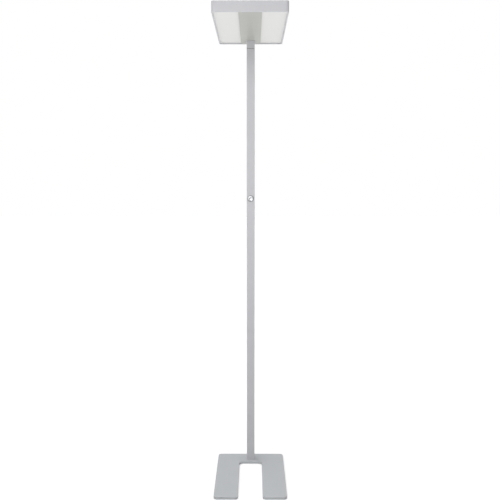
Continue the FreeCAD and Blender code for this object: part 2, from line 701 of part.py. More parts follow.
# ---- Head: diffusers, rails and the strip between them ----
def diffuser_rail(side):
    """Extruded rail: flange under the chassis, web, ledge for the diffuser and hook for the strip."""
    web = RAIL_X + RAIL_WALL
    ledge_end = FIELD_INNER - PLAY
    ledge_low = STRIP_TOP + PLAY
    hook_low = DIFFUSER_BOTTOM + HOOK_LIFT
    profile = [
        (RAIL_X, CHASSIS_BOTTOM), (RAIL_X + RAIL_FLANGE, CHASSIS_BOTTOM),
        (RAIL_X + RAIL_FLANGE, CHASSIS_BOTTOM - RAIL_WALL), (web, CHASSIS_BOTTOM - RAIL_WALL),
        (web, DIFFUSER_BOTTOM), (ledge_end, DIFFUSER_BOTTOM), (ledge_end, ledge_low), (RAIL_X, ledge_low),
        (RAIL_X, hook_low), (RAIL_X - RAIL_HOOK, hook_low), (RAIL_X, hook_low + 1.5 * RAIL_HOOK),
    ]
    half = FIELD_LENGTH / 2 - PLAY
    points = [Vector(x, -half, z) for x, z in profile]
    rail = Part.Face(Part.makePolygon(points + [points[0]])).extrude(Vector(0, 2 * half, 0))
    rib_end = HEAD_LENGTH / 2 - RIB_WIDTH - PLAY
    for low, high in ((-half, -rib_end), (rib_end, half)):
        rail = rail.cut(box(0, HEAD_WIDTH, low, high, RIB_BOTTOM - PLAY, CHASSIS_BOTTOM))
    return mirrored(rail, side)


def bay(bottom, top):
    """The right-hand room between rail and frame, from wall to wall."""
    room = slab(INNER_WIDTH, INNER_LENGTH, INNER_CORNER, bottom, top)
    inner = RAIL_X + RAIL_WALL + PLAY
    return room.common(box(inner, HEAD_WIDTH, -HEAD_LENGTH, HEAD_LENGTH, bottom, top))


def diffuser(side):
    """Satin plate on the lip and the rail's ledge, its middle field pressed in a little."""
    plate = bay(DIFFUSER_BOTTOM, DIFFUSER_TOP)
    wide = FIELD_OUTER - FIELD_INNER - 2 * DIFFUSER_BORDER
    long = FIELD_LENGTH - 2 * DIFFUSER_BORDER
    field = box(FIELD_CENTRE - wide / 2, FIELD_CENTRE + wide / 2, -long / 2, long / 2,
                DIFFUSER_BOTTOM, DIFFUSER_BOTTOM + DIFFUSER_EMBOSS)
    return mirrored(plate.cut(field), side)


def rectangle(width, length, height):
    """Corners of a rectangle over the middle of the light field."""
    half_x, half_y = width / 2, length / 2
    corners = [(-half_x, -half_y), (half_x, -half_y), (half_x, half_y), (-half_x, half_y)]
    return [Vector(FIELD_CENTRE + i, j, height) for i, j in corners]


def funnel(widening, bottom, top):
    """Block with four sloping sides, from the light field up to the board."""
    margin = 2 * REFLECTOR_MARGIN
    mouth = widening - 2 * REFLECTOR_LIP
    low = rectangle(FIELD_OUTER - FIELD_INNER + mouth, FIELD_LENGTH + mouth, bottom)
    high = rectangle(DOWN_BOARD_WIDTH + margin + widening, DOWN_BOARD_LENGTH + margin + widening, top)
    outlines = [low, high]
    for start in range(4):
        end = (start + 1) % 4
        outlines.append([low[start], low[end], high[end], high[start]])
    faces = [Part.Face(Part.makePolygon(outline + [outline[0]])) for outline in outlines]
    return Part.Solid(Part.Shell(faces))


def reflector(side):
    """White funnel between board and diffuser, with a rim that rests on the diffuser."""
    rim = bay(DIFFUSER_TOP, DIFFUSER_TOP + REFLECTOR_WALL)
    outside = rim.fuse(funnel(2 * REFLECTOR_WALL, DIFFUSER_TOP, CHASSIS_BOTTOM))
    return mirrored(outside.cut(funnel(0.0, DIFFUSER_TOP, CHASSIS_BOTTOM)), side)


def neck_clearance():
    """Room for the neck through the strip."""
    side = POLE_SIDE + 2 * PLAY
    return slab(side, side, POLE_CORNER + PLAY, HEAD_BOTTOM, CHASSIS_BOTTOM, 0.0, POLE_Y)


def strip(front, rear):
    """Clip-on cover between the rails: a flat web and two legs with beads over the rails' hooks."""
    half = STRIP_WIDTH / 2
    leg = RAIL_X - RAIL_HOOK - PLAY
    bead = DIFFUSER_BOTTOM + HOOK_LIFT + 1.5 * RAIL_HOOK + PLAY
    leg_top = max(STRIP_TOP + CLIP_HEIGHT, bead + RAIL_HOOK)
    cover = box(-half, half, front, rear, STRIP_BOTTOM, STRIP_TOP)
    for side in (-1, 1):
        profile = [
            (leg - CLIP_WALL, STRIP_TOP - SHEET / 2), (leg, STRIP_TOP - SHEET / 2), (leg, bead),
            (leg + RAIL_HOOK, bead), (leg, leg_top), (leg - CLIP_WALL, leg_top),
        ]
        points = [Vector(side * x, front, z) for x, z in profile]
        cover = cover.fuse(Part.Face(Part.makePolygon(points + [points[0]])).extrude(Vector(0, rear - front, 0)))
    return cover.removeSplitter().cut(neck_clearance())


def centre_cover():
    """The long strip, from the front lip to the neck's middle."""
    return strip(-FIELD_LENGTH / 2 + PLAY, POLE_Y - PLAY / 2)


def rear_cover():
    """The short strip that closes round the neck from behind."""
    return strip(POLE_Y + PLAY / 2, FIELD_LENGTH / 2 - PLAY)


# ---- Head: light and power ----
def down_board(side):
    """Downlight board under the chassis sheet."""
    x = side * FIELD_CENTRE
    half = DOWN_BOARD_WIDTH / 2
    end = DOWN_BOARD_LENGTH / 2
    return box(x - half, x + half, -end, end, CHASSIS_BOTTOM - BOARD_THICKNESS, CHASSIS_BOTTOM)


def up_board(side):
    """Uplight board on the chassis sheet, with a socket at its front end."""
    x = side * FIELD_CENTRE
    half = UP_BOARD_WIDTH / 2
    end = UP_BOARD_LENGTH / 2
    top = CHASSIS_TOP + BOARD_THICKNESS
    board = box(x - half, x + half, -end, end, CHASSIS_TOP, top)
    inner = min(side * (FIELD_CENTRE - half), side * (FIELD_CENTRE - half + BOARD_SOCKET))
    y = twin_rows()[0]
    socket = box(inner, inner + BOARD_SOCKET, y - BOARD_SOCKET / 2, y + BOARD_SOCKET / 2, top, top + BOARD_SOCKET_HEIGHT)
    return board.fuse(socket)


def chips(side, board_length, count, bottom, top):
    """One row of light chips along a board."""
    x = side * FIELD_CENTRE
    step = board_length / count
    half = CHIP_SIDE / 2
    rows = [(index + 0.5) * step - board_length / 2 for index in range(count)]
    return [box(x - half, x + half, y - half, y + half, bottom, top) for y in rows]


def down_chips(side):
    """Chips that look down into the reflector."""
    low = CHASSIS_BOTTOM - BOARD_THICKNESS
    return chips(side, DOWN_BOARD_LENGTH, DOWN_CHIPS, low - CHIP_HEIGHT, low)


def up_chips(side):
    """Chips that look up through the pane."""
    low = CHASSIS_TOP + BOARD_THICKNESS
    return chips(side, UP_BOARD_LENGTH, UP_CHIPS, low, low + CHIP_HEIGHT)


def led_driver():
    """Flat driver under the channel's ceiling."""
    middle = (DRIVER_FRONT + DRIVER_REAR) / 2
    return slab(DRIVER_WIDTH, DRIVER_LENGTH, DRIVER_CORNER, DRIVER_BOTTOM, CHANNEL_CEILING, 0.0, middle)


def driver_straps():
    """Two folded straps across the driver, their lips welded to the channel's ceiling."""
    half = DRIVER_WIDTH / 2
    low = DRIVER_BOTTOM - BRACKET_SHEET
    straps = []
    inset = DRIVER_LENGTH / 6
    for y in (DRIVER_FRONT + inset, DRIVER_REAR - inset):
        front, rear = y - STRAP_WIDTH / 2, y + STRAP_WIDTH / 2
        lip = min(half + BRACKET_SHEET + STRAP_LIP, CHANNEL_WIDTH / 2 - SHEET - FOLD_RADIUS)
        outside = box(-half - BRACKET_SHEET, half + BRACKET_SHEET, front, rear, low, CHANNEL_CEILING)
        strap = outside.cut(box(-half, half, front, rear, DRIVER_BOTTOM, CHANNEL_CEILING))
        for hand in (-1, 1):
            inner, outer = sorted((hand * (half + BRACKET_SHEET), hand * lip))
            strap = strap.fuse(box(inner, outer, front, rear, CHANNEL_CEILING - BRACKET_SHEET, CHANNEL_CEILING))
        straps.append(strap.removeSplitter())
    return straps


def head_terminal():
    """Terminal block under the channel's ceiling, where the supply lead ends."""
    half = min(TERMINAL_WIDTH / 2, CONTROL_X - CONTROL_WIDTH / 2 - PLAY - SUPPLY_X)
    return box(SUPPLY_X - half, SUPPLY_X + half, HEAD_TERMINAL_FRONT, HEAD_TERMINAL_REAR,
               CHANNEL_CEILING - HEAD_TERMINAL_HEIGHT, CHANNEL_CEILING)


def driver_lead():
    """Flat lead from the terminal block to the driver's end."""
    height = (DRIVER_BOTTOM + CHANNEL_CEILING) / 2
    half = SUPPLY_WIDTH / 2
    return box(SUPPLY_X - half, SUPPLY_X + half, DRIVER_REAR, HEAD_TERMINAL_FRONT,
               height - SUPPLY_THICKNESS / 2, height + SUPPLY_THICKNESS / 2)


def twin_rows():
    """Where the boards' leads cross the chassis: y of the up lead, y of the down lead, height."""
    up_y = DRIVER_FRONT - 3 * TWIN_BEND
    return up_y, up_y + 2 * TWIN_THICKNESS, CHASSIS_TOP + BOARD_THICKNESS + BOARD_SOCKET_HEIGHT / 2


def down_lead_x():
    """Where the downlight lead goes down, clear of the upper board's inner edge."""
    return FIELD_CENTRE - UP_BOARD_WIDTH / 2 - TWIN_WIDTH / 2 - PLAY


def board_leads():
    """Four flat twin leads from the driver's front end: to each side one up board and one down board."""
    up_y, down_y, height = twin_rows()
    front = DRIVER_FRONT
    second = DRIVER_WIDTH / 2 - DRIVER_CORNER - TWIN_THICKNESS
    first = second - 2 * TWIN_THICKNESS
    socket_x = FIELD_CENTRE - UP_BOARD_WIDTH / 2
    down_x = down_lead_x()
    leads = []
    for side in (-1, 1):
        up_points = [(first, front, height), (first, up_y, height), (socket_x, up_y, height)]
        down_points = [
            (second, front, height), (second, down_y, height), (down_x, down_y, height),
            (down_x, down_y, CHASSIS_BOTTOM),
        ]
        for points, bend in ((up_points, TWIN_BEND), (down_points, TWIN_BEND / 2)):
            line = [Vector(side * px, py, pz) for px, py, pz in points]
            leads.append(flat_lead("board_leads", line, TWIN_WIDTH, TWIN_THICKNESS, bend))
    return leads


# ---- Build ----
os.makedirs("parts", exist_ok=True)
save("base_plate", base_plate())
save("base_glides", *base_glides())
save("base_screws", *base_screws())
save("pole_tube", pole_tube())
save("pole_foot", pole_foot())
save("cable_gland", cable_gland())
save("terminal_bracket", terminal_bracket())
save("foot_terminal", foot_terminal())
save("supply_lead", supply_lead())
save("control_lead", control_lead())
save("button_bezel", button_bezel())
save("button_cap", button_cap())
save("button_housing", button_housing())
save("button_spring", button_spring())
save("switch_body", switch_body())
save("switch_plunger", switch_plunger())
save("control_board", control_board())
save("neck_spigot", neck_spigot())
save("neck_tube", neck_tube())
save("neck_flange", neck_flange())
save("head_frame", head_frame())
save("head_chassis", head_chassis())
save("top_cover", top_cover())
save("centre_cover", centre_cover())
save("rear_cover", rear_cover())
save("led_driver", led_driver())
save("driver_straps", *driver_straps())
save("head_terminal", head_terminal())
save("driver_lead", driver_lead())
save("board_leads", *board_leads())
for side_name, side_sign in (("left", -1), ("right", 1)):
    save(f"uplight_pane_{side_name}", uplight_pane(side_sign))
    save(f"diffuser_rail_{side_name}", diffuser_rail(side_sign))
    save(f"diffuser_{side_name}", diffuser(side_sign))
    save(f"reflector_{side_name}", reflector(side_sign))
    save(f"downlight_board_{side_name}", down_board(side_sign))
    save(f"downlight_chips_{side_name}", *down_chips(side_sign))
    save(f"uplight_board_{side_name}", up_board(side_sign))
    save(f"uplight_chips_{side_name}", *up_chips(side_sign))
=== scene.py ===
"""Office floor lamp: a flat box head with light downwards and upwards, on a slim square pole.

Metres, +Z up, the front is -Y. The origin lies on the floor under the middle of the head.
The solids of the frame carry the shape; this file gives them their finishes and adds the fine
pieces: the turned push button, the cord's bush, screw heads and the rows of light chips.
"""

import logging
import math
from collections.abc import Sequence
from dataclasses import dataclass, field
from enum import Enum

import bpy
import numpy as np
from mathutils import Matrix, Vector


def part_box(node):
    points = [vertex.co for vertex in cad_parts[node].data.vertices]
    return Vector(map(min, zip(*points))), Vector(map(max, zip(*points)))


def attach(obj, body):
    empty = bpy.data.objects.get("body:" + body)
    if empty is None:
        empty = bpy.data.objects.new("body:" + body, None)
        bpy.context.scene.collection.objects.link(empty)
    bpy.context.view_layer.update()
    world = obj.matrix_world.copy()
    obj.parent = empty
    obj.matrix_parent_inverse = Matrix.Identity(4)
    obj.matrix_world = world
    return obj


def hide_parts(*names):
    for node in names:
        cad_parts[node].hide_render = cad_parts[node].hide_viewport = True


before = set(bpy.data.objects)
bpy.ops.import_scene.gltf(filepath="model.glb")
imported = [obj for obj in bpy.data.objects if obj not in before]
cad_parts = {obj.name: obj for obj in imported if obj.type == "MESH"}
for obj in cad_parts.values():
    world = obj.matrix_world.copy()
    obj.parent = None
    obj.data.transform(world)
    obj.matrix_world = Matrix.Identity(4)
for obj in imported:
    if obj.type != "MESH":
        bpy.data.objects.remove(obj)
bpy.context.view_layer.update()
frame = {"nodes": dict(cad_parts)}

LOG = logging.getLogger("floor_lamp")
MM = 0.001
WHITE = (1.0, 1.0, 1.0, 1.0)
NOISE_LOW, NOISE_HIGH = 0.3, 0.7    # most values of a noise texture lie between these
WAVE_FACTOR = 20.0                  # the wave texture's own factor on distance

Socket = bpy.types.NodeSocket
Setting = str | float | bool
Feed = Socket | float | tuple[float, ...]


# ---- Colours and nodes ----
def linear(hex_colour: str) -> tuple[float, float, float, float]:
    """Turns an sRGB hex value into linear light.

    Each channel c is c / 12.92 up to 0.04045 and ((c + 0.055) / 1.055) ** 2.4 above.

    Args:
        hex_colour: six hex digits after a hash sign.

    Returns:
        Red, green, blue and an alpha of 1.
    """
    channels = np.array([int(hex_colour[i:i + 2], 16) / 255 for i in (1, 3, 5)])
    light = np.where(channels <= 0.04045, channels / 12.92, ((channels + 0.055) / 1.055) ** 2.4)
    return (*(float(c) for c in light), 1.0)


def add_node(
    tree: bpy.types.NodeTree,
    kind: str,
    inputs: dict[str | int, Feed] | None = None,
    **settings: Setting,
) -> bpy.types.Node:
    """Adds one node with its settings, values and links.

    Args:
        tree: the node tree that gets it.
        kind: the node's type, without "ShaderNode" in front.
        inputs: for each socket, by name or number, a value or the output that feeds it.
        **settings: the node's own properties.

    Returns:
        The new node.
    """
    node = tree.nodes.new(f"ShaderNode{kind}")
    for name, value in settings.items():
        setattr(node, name, value)
    for name, value in (inputs or {}).items():
        if isinstance(value, Socket):
            tree.links.new(value, node.inputs[name])
        else:
            node.inputs[name].default_value = value
    return node


# ---- Finishes ----
@dataclass(frozen=True)
class Finish:
    """What a surface is made of and how it was made.

    Fields: the material's name, its colour as sRGB hex, its roughness and metallic share, its
    index of refraction where it isn't a metal, how far its colour drifts, and how large its
    clouds of colour are.
    """

    name: str
    colour: str
    roughness: float
    metallic: float = 0.0
    ior: float = 1.5
    drift: float = 0.03
    cloud_mm: float = 60.0

    def material(self) -> bpy.types.Material:
        """Returns the finish as a material, which is made once."""
        known = bpy.data.materials.get(self.name)
        if known is not None:
            return known
        material = bpy.data.materials.new(self.name)
        material.use_nodes = True
        material.diffuse_color = linear(self.colour)
        tree = material.node_tree
        tree.nodes.clear()
        place = add_node(tree, "TexCoord").outputs["Object"]
        shader = add_node(tree, "BsdfPrincipled", {
            "Base Color": self.clouds(tree, place),
            "Roughness": self.roughness,
            "Metallic": self.metallic,
        })
        if not self.metallic:
            shader.inputs["IOR"].default_value = self.ior
        self.surface(tree, place, shader)
        add_node(tree, "OutputMaterial", {"Surface": shader.outputs["BSDF"]})
        return material

    def clouds(self, tree: bpy.types.NodeTree, place: Socket) -> Socket:
        """Colour that drifts a little lighter and darker over the surface.

        Args:
            tree: the material's node tree.
            place: position on the object, in metres.

        Returns:
            The colour, which is the finish's own times 1 - drift to 1 + drift.
        """
        own = np.array(linear(self.colour)[:3])
        low, high = ((*np.clip(own * (1 + sign * self.drift), 0, 1), 1.0) for sign in (-1, 1))
        cloud = add_node(tree, "TexNoise", {
            "Vector": place, "Scale": 1 / (self.cloud_mm * MM), "Detail": 2.0})
        mix = add_node(tree, "Mix", {0: cloud.outputs["Fac"], 6: low, 7: high}, data_type="RGBA")
        return mix.outputs[2]

    def surface(self, tree: bpy.types.NodeTree, place: Socket, shader: bpy.types.Node) -> None:
        """Adds the relief and gloss that the way of making leaves. A plain finish has none."""


@dataclass(frozen=True)
class PowderCoat(Finish):
    """Baked polyester powder: it flows into low waves, the orange peel, over a fine grain.

    Fields besides: the sizes of peel, grain and metal flakes, the height of the relief, the
    grain's share in it, how far the gloss swings, and how much lighter or darker one flake is than
    the next.
    """

    peel_mm: float = 2.2
    grain_mm: float = 0.35
    height_mm: float = 0.035
    grain_share: float = 0.35
    gloss_swing: float = 0.05
    flake_mm: float = 0.5         # real flakes are 0.05 mm; drawn coarser so that they show
    flake: float = 0.05

    def clouds(self, tree: bpy.types.NodeTree, place: Socket) -> Socket:
        """The drifting colour times 1 - flake to 1 + flake, one value for each flake."""
        base = super().clouds(tree, place)
        flakes = add_node(tree, "TexVoronoi", {"Vector": place, "Scale": 1 / (self.flake_mm * MM)})
        tint = add_node(tree, "MapRange", {
            "Value": flakes.outputs["Color"], "To Min": 1 - self.flake, "To Max": 1 + self.flake})
        mix = add_node(tree, "Mix", {0: 1.0, 6: base, 7: tint.outputs["Result"]}, data_type="RGBA",
                       blend_type="MULTIPLY")
        return mix.outputs[2]

    def surface(self, tree: bpy.types.NodeTree, place: Socket, shader: bpy.types.Node) -> None:
        """Adds peel and grain as relief, and a gloss that is a little uneven."""
        peel = add_node(tree, "TexNoise", {
            "Vector": place, "Scale": 1 / (self.peel_mm * MM), "Detail": 1.0})
        grain = add_node(tree, "TexNoise", {
            "Vector": place, "Scale": 1 / (self.grain_mm * MM), "Detail": 1.0})
        height = add_node(tree, "Mix", {
            0: self.grain_share, 2: peel.outputs["Fac"], 3: grain.outputs["Fac"]})
        bump = add_node(tree, "Bump", {
            "Strength": 0.6, "Distance": self.height_mm * MM, "Height": height.outputs[0]})
        gloss = add_node(tree, "MapRange", {
            "Value": peel.outputs["Fac"], "From Min": NOISE_LOW, "From Max": NOISE_HIGH,
            "To Min": self.roughness - self.gloss_swing, "To Max": self.roughness + self.gloss_swing})
        tree.links.new(bump.outputs["Normal"], shader.inputs["Normal"])
        tree.links.new(gloss.outputs["Result"], shader.inputs["Roughness"])


@dataclass(frozen=True)
class DrawnMetal(Finish):
    """Extruded or rolled metal: fine lines run the way it was drawn, and break up its gloss."""

    line_mm: float = 0.6          # coarser than the real 0.1 mm, so that it shows
    line_depth_mm: float = 0.01
    gloss_swing: float = 0.08
    stretch: tuple[float, float, float] = (1.0, 0.01, 1.0)

    def surface(self, tree: bpy.types.NodeTree, place: Socket, shader: bpy.types.Node) -> None:
        """Adds the lines as a gloss that changes across them and a shallow relief."""
        along = add_node(tree, "Mapping", {"Vector": place, "Scale": self.stretch})
        lines = add_node(tree, "TexNoise", {
            "Vector": along.outputs["Vector"], "Scale": 1 / (self.line_mm * MM), "Detail": 3.0})
        gloss = add_node(tree, "MapRange", {
            "Value": lines.outputs["Fac"], "From Min": NOISE_LOW, "From Max": NOISE_HIGH,
            "To Min": self.roughness - self.gloss_swing, "To Max": self.roughness + self.gloss_swing})
        bump = add_node(tree, "Bump", {
            "Strength": 0.3, "Distance": self.line_depth_mm * MM, "Height": lines.outputs["Fac"]})
        tree.links.new(gloss.outputs["Result"], shader.inputs["Roughness"])
        tree.links.new(bump.outputs["Normal"], shader.inputs["Normal"])


@dataclass(frozen=True)
class TurnedMetal(Finish):
    """Metal faced on a lathe: the tool leaves rings round the axis."""

    centre: tuple[float, float, float] = (0.0, 0.0, 0.0)
    feed_mm: float = 0.5          # the real feed of 0.1 mm, drawn coarser so that it shows
    ring_depth_mm: float = 0.02

    def surface(self, tree: bpy.types.NodeTree, place: Socket, shader: bpy.types.Node) -> None:
        """Adds rings round the Y axis through the centre, one in each feed."""
        centred = add_node(tree, "Mapping", {"Vector": place, "Location": tuple(-c for c in self.centre)})
        rings = add_node(tree, "TexWave", {
            "Vector": centred.outputs["Vector"], "Scale": 1 / (WAVE_FACTOR * self.feed_mm * MM),
            "Distortion": 0.0,
        }, wave_type="RINGS", rings_direction="Y", wave_profile="SIN")
        bump = add_node(tree, "Bump", {
            "Strength": 0.25, "Distance": self.ring_depth_mm * MM, "Height": rings.outputs["Fac"]})
        tree.links.new(bump.outputs["Normal"], shader.inputs["Normal"])


@dataclass(frozen=True)
class MouldedPlastic(Finish):
    """Plastic from an eroded steel mould, which gives it an even fine grain."""

    grain_mm: float = 0.5
    grain_depth_mm: float = 0.03

    def surface(self, tree: bpy.types.NodeTree, place: Socket, shader: bpy.types.Node) -> None:
        """Adds the mould's grain as relief."""
        grain = add_node(tree, "TexNoise", {
            "Vector": place, "Scale": 1 / (self.grain_mm * MM), "Detail": 2.0})
        bump = add_node(tree, "Bump", {
            "Strength": 0.4, "Distance": self.grain_depth_mm * MM, "Height": grain.outputs["Fac"]})
        tree.links.new(bump.outputs["Normal"], shader.inputs["Normal"])


@dataclass(frozen=True)
class Galvanised(Finish):
    """Steel sheet dipped in zinc, whose crystals show as a faint spangle."""

    spangle_mm: float = 5.0
    gloss_swing: float = 0.1

    def surface(self, tree: bpy.types.NodeTree, place: Socket, shader: bpy.types.Node) -> None:
        """Gives each crystal its own gloss."""
        crystal = add_node(tree, "TexVoronoi", {"Vector": place, "Scale": 1 / (self.spangle_mm * MM)})
        gloss = add_node(tree, "MapRange", {
            "Value": crystal.outputs["Color"],
            "To Min": self.roughness - self.gloss_swing, "To Max": self.roughness + self.gloss_swing})
        tree.links.new(gloss.outputs["Result"], shader.inputs["Roughness"])


@dataclass(frozen=True)
class OpalAcrylic(Finish):
    """Extruded acrylic with light-scattering filler and a satin back: soft, even and milky."""

    prism_mm: float = 3.0
    prism_depth_mm: float = 0.05

    def surface(self, tree: bpy.types.NodeTree, place: Socket, shader: bpy.types.Node) -> None:
        """Adds a very shallow pattern of prisms and a thin clear gloss over the milky body."""
        prisms = add_node(tree, "TexVoronoi", {
            "Vector": place, "Scale": 1 / (self.prism_mm * MM), "Randomness": 0.0})
        bump = add_node(tree, "Bump", {
            "Strength": 0.25, "Distance": self.prism_depth_mm * MM, "Height": prisms.outputs["Distance"]})
        tree.links.new(bump.outputs["Normal"], shader.inputs["Normal"])


@dataclass(frozen=True)
class ClearAcrylic(Finish):
    """Cast acrylic pane: clear, with a gloss that a wipe has left a little uneven."""

    cover: float = 0.16            # share of what lies behind that its haze and shine cover
    wipe_mm: float = 40.0
    gloss_swing: float = 0.06

    def surface(self, tree: bpy.types.NodeTree, place: Socket, shader: bpy.types.Node) -> None:
        """Lets light through and varies the gloss."""
        shader.inputs["Alpha"].default_value = self.cover
        wipe = add_node(tree, "TexNoise", {
            "Vector": place, "Scale": 1 / (self.wipe_mm * MM), "Detail": 3.0})
        gloss = add_node(tree, "MapRange", {
            "Value": wipe.outputs["Fac"],
            "To Min": self.roughness, "To Max": self.roughness + self.gloss_swing})
        tree.links.new(gloss.outputs["Result"], shader.inputs["Roughness"])


@dataclass(frozen=True)
class SolderMask(Finish):
    """Glass-fibre board under solder mask, with copper tracks that show as a faint tone."""

    track_mm: float = 6.0
    pattern_tracks: float = 4.0    # tracks in one repeat of the pattern
    copper_mm: float = 0.035

    def surface(self, tree: bpy.types.NodeTree, place: Socket, shader: bpy.types.Node) -> None:
        """Raises the tracks by the copper's thickness."""
        tracks = add_node(tree, "TexBrick", {
            "Vector": place, "Scale": 1 / (self.pattern_tracks * self.track_mm * MM),
            "Mortar Size": 0.02, "Mortar Smooth": 0.2})
        bump = add_node(tree, "Bump", {
            "Strength": 0.5, "Distance": self.copper_mm * MM, "Height": tracks.outputs["Fac"]})
        tree.links.new(bump.outputs["Normal"], shader.inputs["Normal"])


# Satin silver grey, a little cool: soft broad highlights, low waves and a faint sparkle.
SILVER_COAT = PowderCoat("silver_grey_powder_coat", "#c9c9cd", 0.46)
# The same coat sprayed on flat plate: flatter, a shade darker and less glossy.
BASE_COAT = PowderCoat("silver_grey_powder_coat_on_plate", "#c6c9cc", 0.50)
# A warmer and darker grey with more gloss: the strip mirrors the dark gap near the neck.
STRIP_COAT = PowderCoat("grey_powder_coat_on_strip", "#b3b4ae", 0.40)
# Thin white coil coat: nearly even, with wide flat waves from the roller.
WHITE_COAT = PowderCoat("white_coil_coat", "#e4e4e1", 0.45, peel_mm=3.0, height_mm=0.01, flake=0.01)
# Matt white: it throws the light back evenly and shows no highlight.
REFLECTOR_WHITE = PowderCoat(
    "white_reflector_coat", "#eeeeec", 0.6, peel_mm=3.0, height_mm=0.01, flake=0.01)
# Milky and even, with a soft sheen: the light chips behind it don't show.
OPAL = OpalAcrylic("opal_acrylic_satin", "#e4e4e2", 0.42, ior=1.49, drift=0.005, cloud_mm=120.0)
# Clear and glossy: the boards show through under a clean reflection.
CLEAR = ClearAcrylic("clear_acrylic", "#f4f7f7", 0.02, ior=1.49, drift=0.01)
# Pale metal with fine lines along the profile, as it leaves the press.
DRAWN_ALUMINIUM = DrawnMetal("aluminium_as_extruded", "#c9cacc", 0.38, metallic=1.0)
# Bright, slightly bluish steel with short drawn lines.
ZINC_PLATED = DrawnMetal("steel_zinc_plated", "#b9babb", 0.35, metallic=1.0, stretch=(1.0, 1.0, 0.05))
# Dark bare steel with the saw's lines and an oily gloss.
SAWN_STEEL = DrawnMetal("steel_sawn_and_oiled", "#6f7072", 0.45, metallic=1.0, stretch=(1.0, 0.05, 1.0))
# Bare cast aluminium, dull and grey: the collar draws a fine dark line between pole and neck.
CAST_ALUMINIUM = DrawnMetal("aluminium_cast_bare", "#8a8c8e", 0.6, metallic=1.0, stretch=(1.0, 1.0, 0.05))
# Grey steel sheet whose crystals catch the light one by one.
GALVANISED = Galvanised("steel_sheet_galvanised", "#b4b7b9", 0.42, metallic=1.0)
# Silver paint on moulded plastic: a smooth half-gloss ring. Its grey is painted shade, darker than silver
# paint, so that it reads darker than the coat round it, as the dark arc of shadow and reflection at the
# button's rim does.
SILVER_PLASTIC_PAINTED_SHADE = MouldedPlastic("abs_silver_with_painted_shade", "#808286", 0.3, grain_mm=0.4)
# Near-black nylon, semi-matt, with the mould's even grain.
BLACK_PLASTIC = MouldedPlastic("polyamide_black_moulded", "#1c1c1d", 0.55, ior=1.53)
# Uncoloured nylon: off-white, a little waxy.
NATURAL_PLASTIC = MouldedPlastic("polyamide_natural_moulded", "#dddcd6", 0.5, ior=1.53)
# White polycarbonate box, satin and slightly cool.
WHITE_PLASTIC = MouldedPlastic("polycarbonate_white_moulded", "#e0e0de", 0.45, ior=1.58)
# Soft white sheath with a long low waviness.
WHITE_SHEATH = MouldedPlastic("pvc_sheath_white", "#d9d9d5", 0.5, ior=1.53, grain_mm=1.5)
# The same in mid grey, for the signal leads.
GREY_SHEATH = MouldedPlastic("pvc_sheath_grey", "#8c8d8f", 0.5, ior=1.53, grain_mm=1.5)
# Dull black rubber that shows hardly any highlight.
RUBBER = MouldedPlastic("rubber_black_moulded", "#232323", 0.8, ior=1.52, grain_mm=0.8)
# White lacquer over the board, glossy, with the tracks just raised under it.
BOARD_WHITE = SolderMask("solder_mask_white_on_board", "#e6e6e1", 0.32)
# Green lacquer over fine tracks.
BOARD_GREEN = SolderMask("solder_mask_green_on_board", "#24573a", 0.3, track_mm=2.0)
# Yellow phosphor under a clear glossy gel.
PHOSPHOR = MouldedPlastic("silicone_over_phosphor", "#ecd382", 0.25, ior=1.41, grain_mm=0.3)

NODE_FINISHES: dict[str, Finish] = {
    "base_plate": BASE_COAT, "base_glides": RUBBER, "base_screws": ZINC_PLATED,
    "pole_tube": SILVER_COAT, "pole_foot": SAWN_STEEL, "cable_gland": BLACK_PLASTIC,
    "terminal_bracket": GALVANISED, "foot_terminal": NATURAL_PLASTIC,
    "supply_lead": WHITE_SHEATH, "control_lead": GREY_SHEATH, "driver_lead": WHITE_SHEATH,
    "board_leads": GREY_SHEATH, "button_bezel": SILVER_PLASTIC_PAINTED_SHADE, "button_cap": DRAWN_ALUMINIUM,
    "button_housing": BLACK_PLASTIC, "button_spring": ZINC_PLATED,
    "switch_body": BLACK_PLASTIC, "switch_plunger": NATURAL_PLASTIC,
    "control_board": BOARD_GREEN, "neck_spigot": CAST_ALUMINIUM, "neck_tube": SILVER_COAT,
    "neck_flange": SAWN_STEEL, "head_frame": SILVER_COAT, "head_chassis": WHITE_COAT,
    "top_cover": SILVER_COAT, "centre_cover": STRIP_COAT, "rear_cover": STRIP_COAT,
    "led_driver": WHITE_PLASTIC, "driver_straps": GALVANISED, "head_terminal": NATURAL_PLASTIC,
    "uplight_pane": CLEAR, "diffuser_rail": DRAWN_ALUMINIUM, "diffuser": OPAL,
    "reflector": REFLECTOR_WHITE, "downlight_board": BOARD_WHITE, "downlight_chips": PHOSPHOR,
    "uplight_board": BOARD_WHITE, "uplight_chips": PHOSPHOR,
}


def dress_nodes() -> None:
    """Gives each solid of the frame its finish. Left and right share one."""
    for name, solid in frame["nodes"].items():
        stem = name.removesuffix("_left").removesuffix("_right")
        for material_slot in solid.material_slots:
            material_slot.material = NODE_FINISHES[stem].material()
        LOG.info("dressed %s", name)


# ---- Skins ----
class Facing(Enum):
    """Where a piece modelled about +Z looks in the lamp: rows are where its X, Y and Z axes go."""

    UP = ((1, 0, 0), (0, 1, 0), (0, 0, 1))
    FRONT = ((1, 0, 0), (0, 0, 1), (0, -1, 0))
    REAR = ((-1, 0, 0), (0, 0, 1), (0, 1, 0))


@dataclass(frozen=True)
class Skin:
    """A surface: points in metres, one row each, and faces as lists of point numbers."""

    points: np.ndarray
    faces: list[list[int]]

    def seated(self, facing: Facing, at: Sequence[float]) -> "Skin":
        """Turns the skin to where it looks and carries its origin to a place.

        Args:
            facing: where its +Z looks.
            at: place of its origin, in metres.

        Returns:
            The skin in the lamp's frame, each point p as p x axes + at.
        """
        return Skin(self.points @ np.array(facing.value, dtype=float) + np.array(at), self.faces)


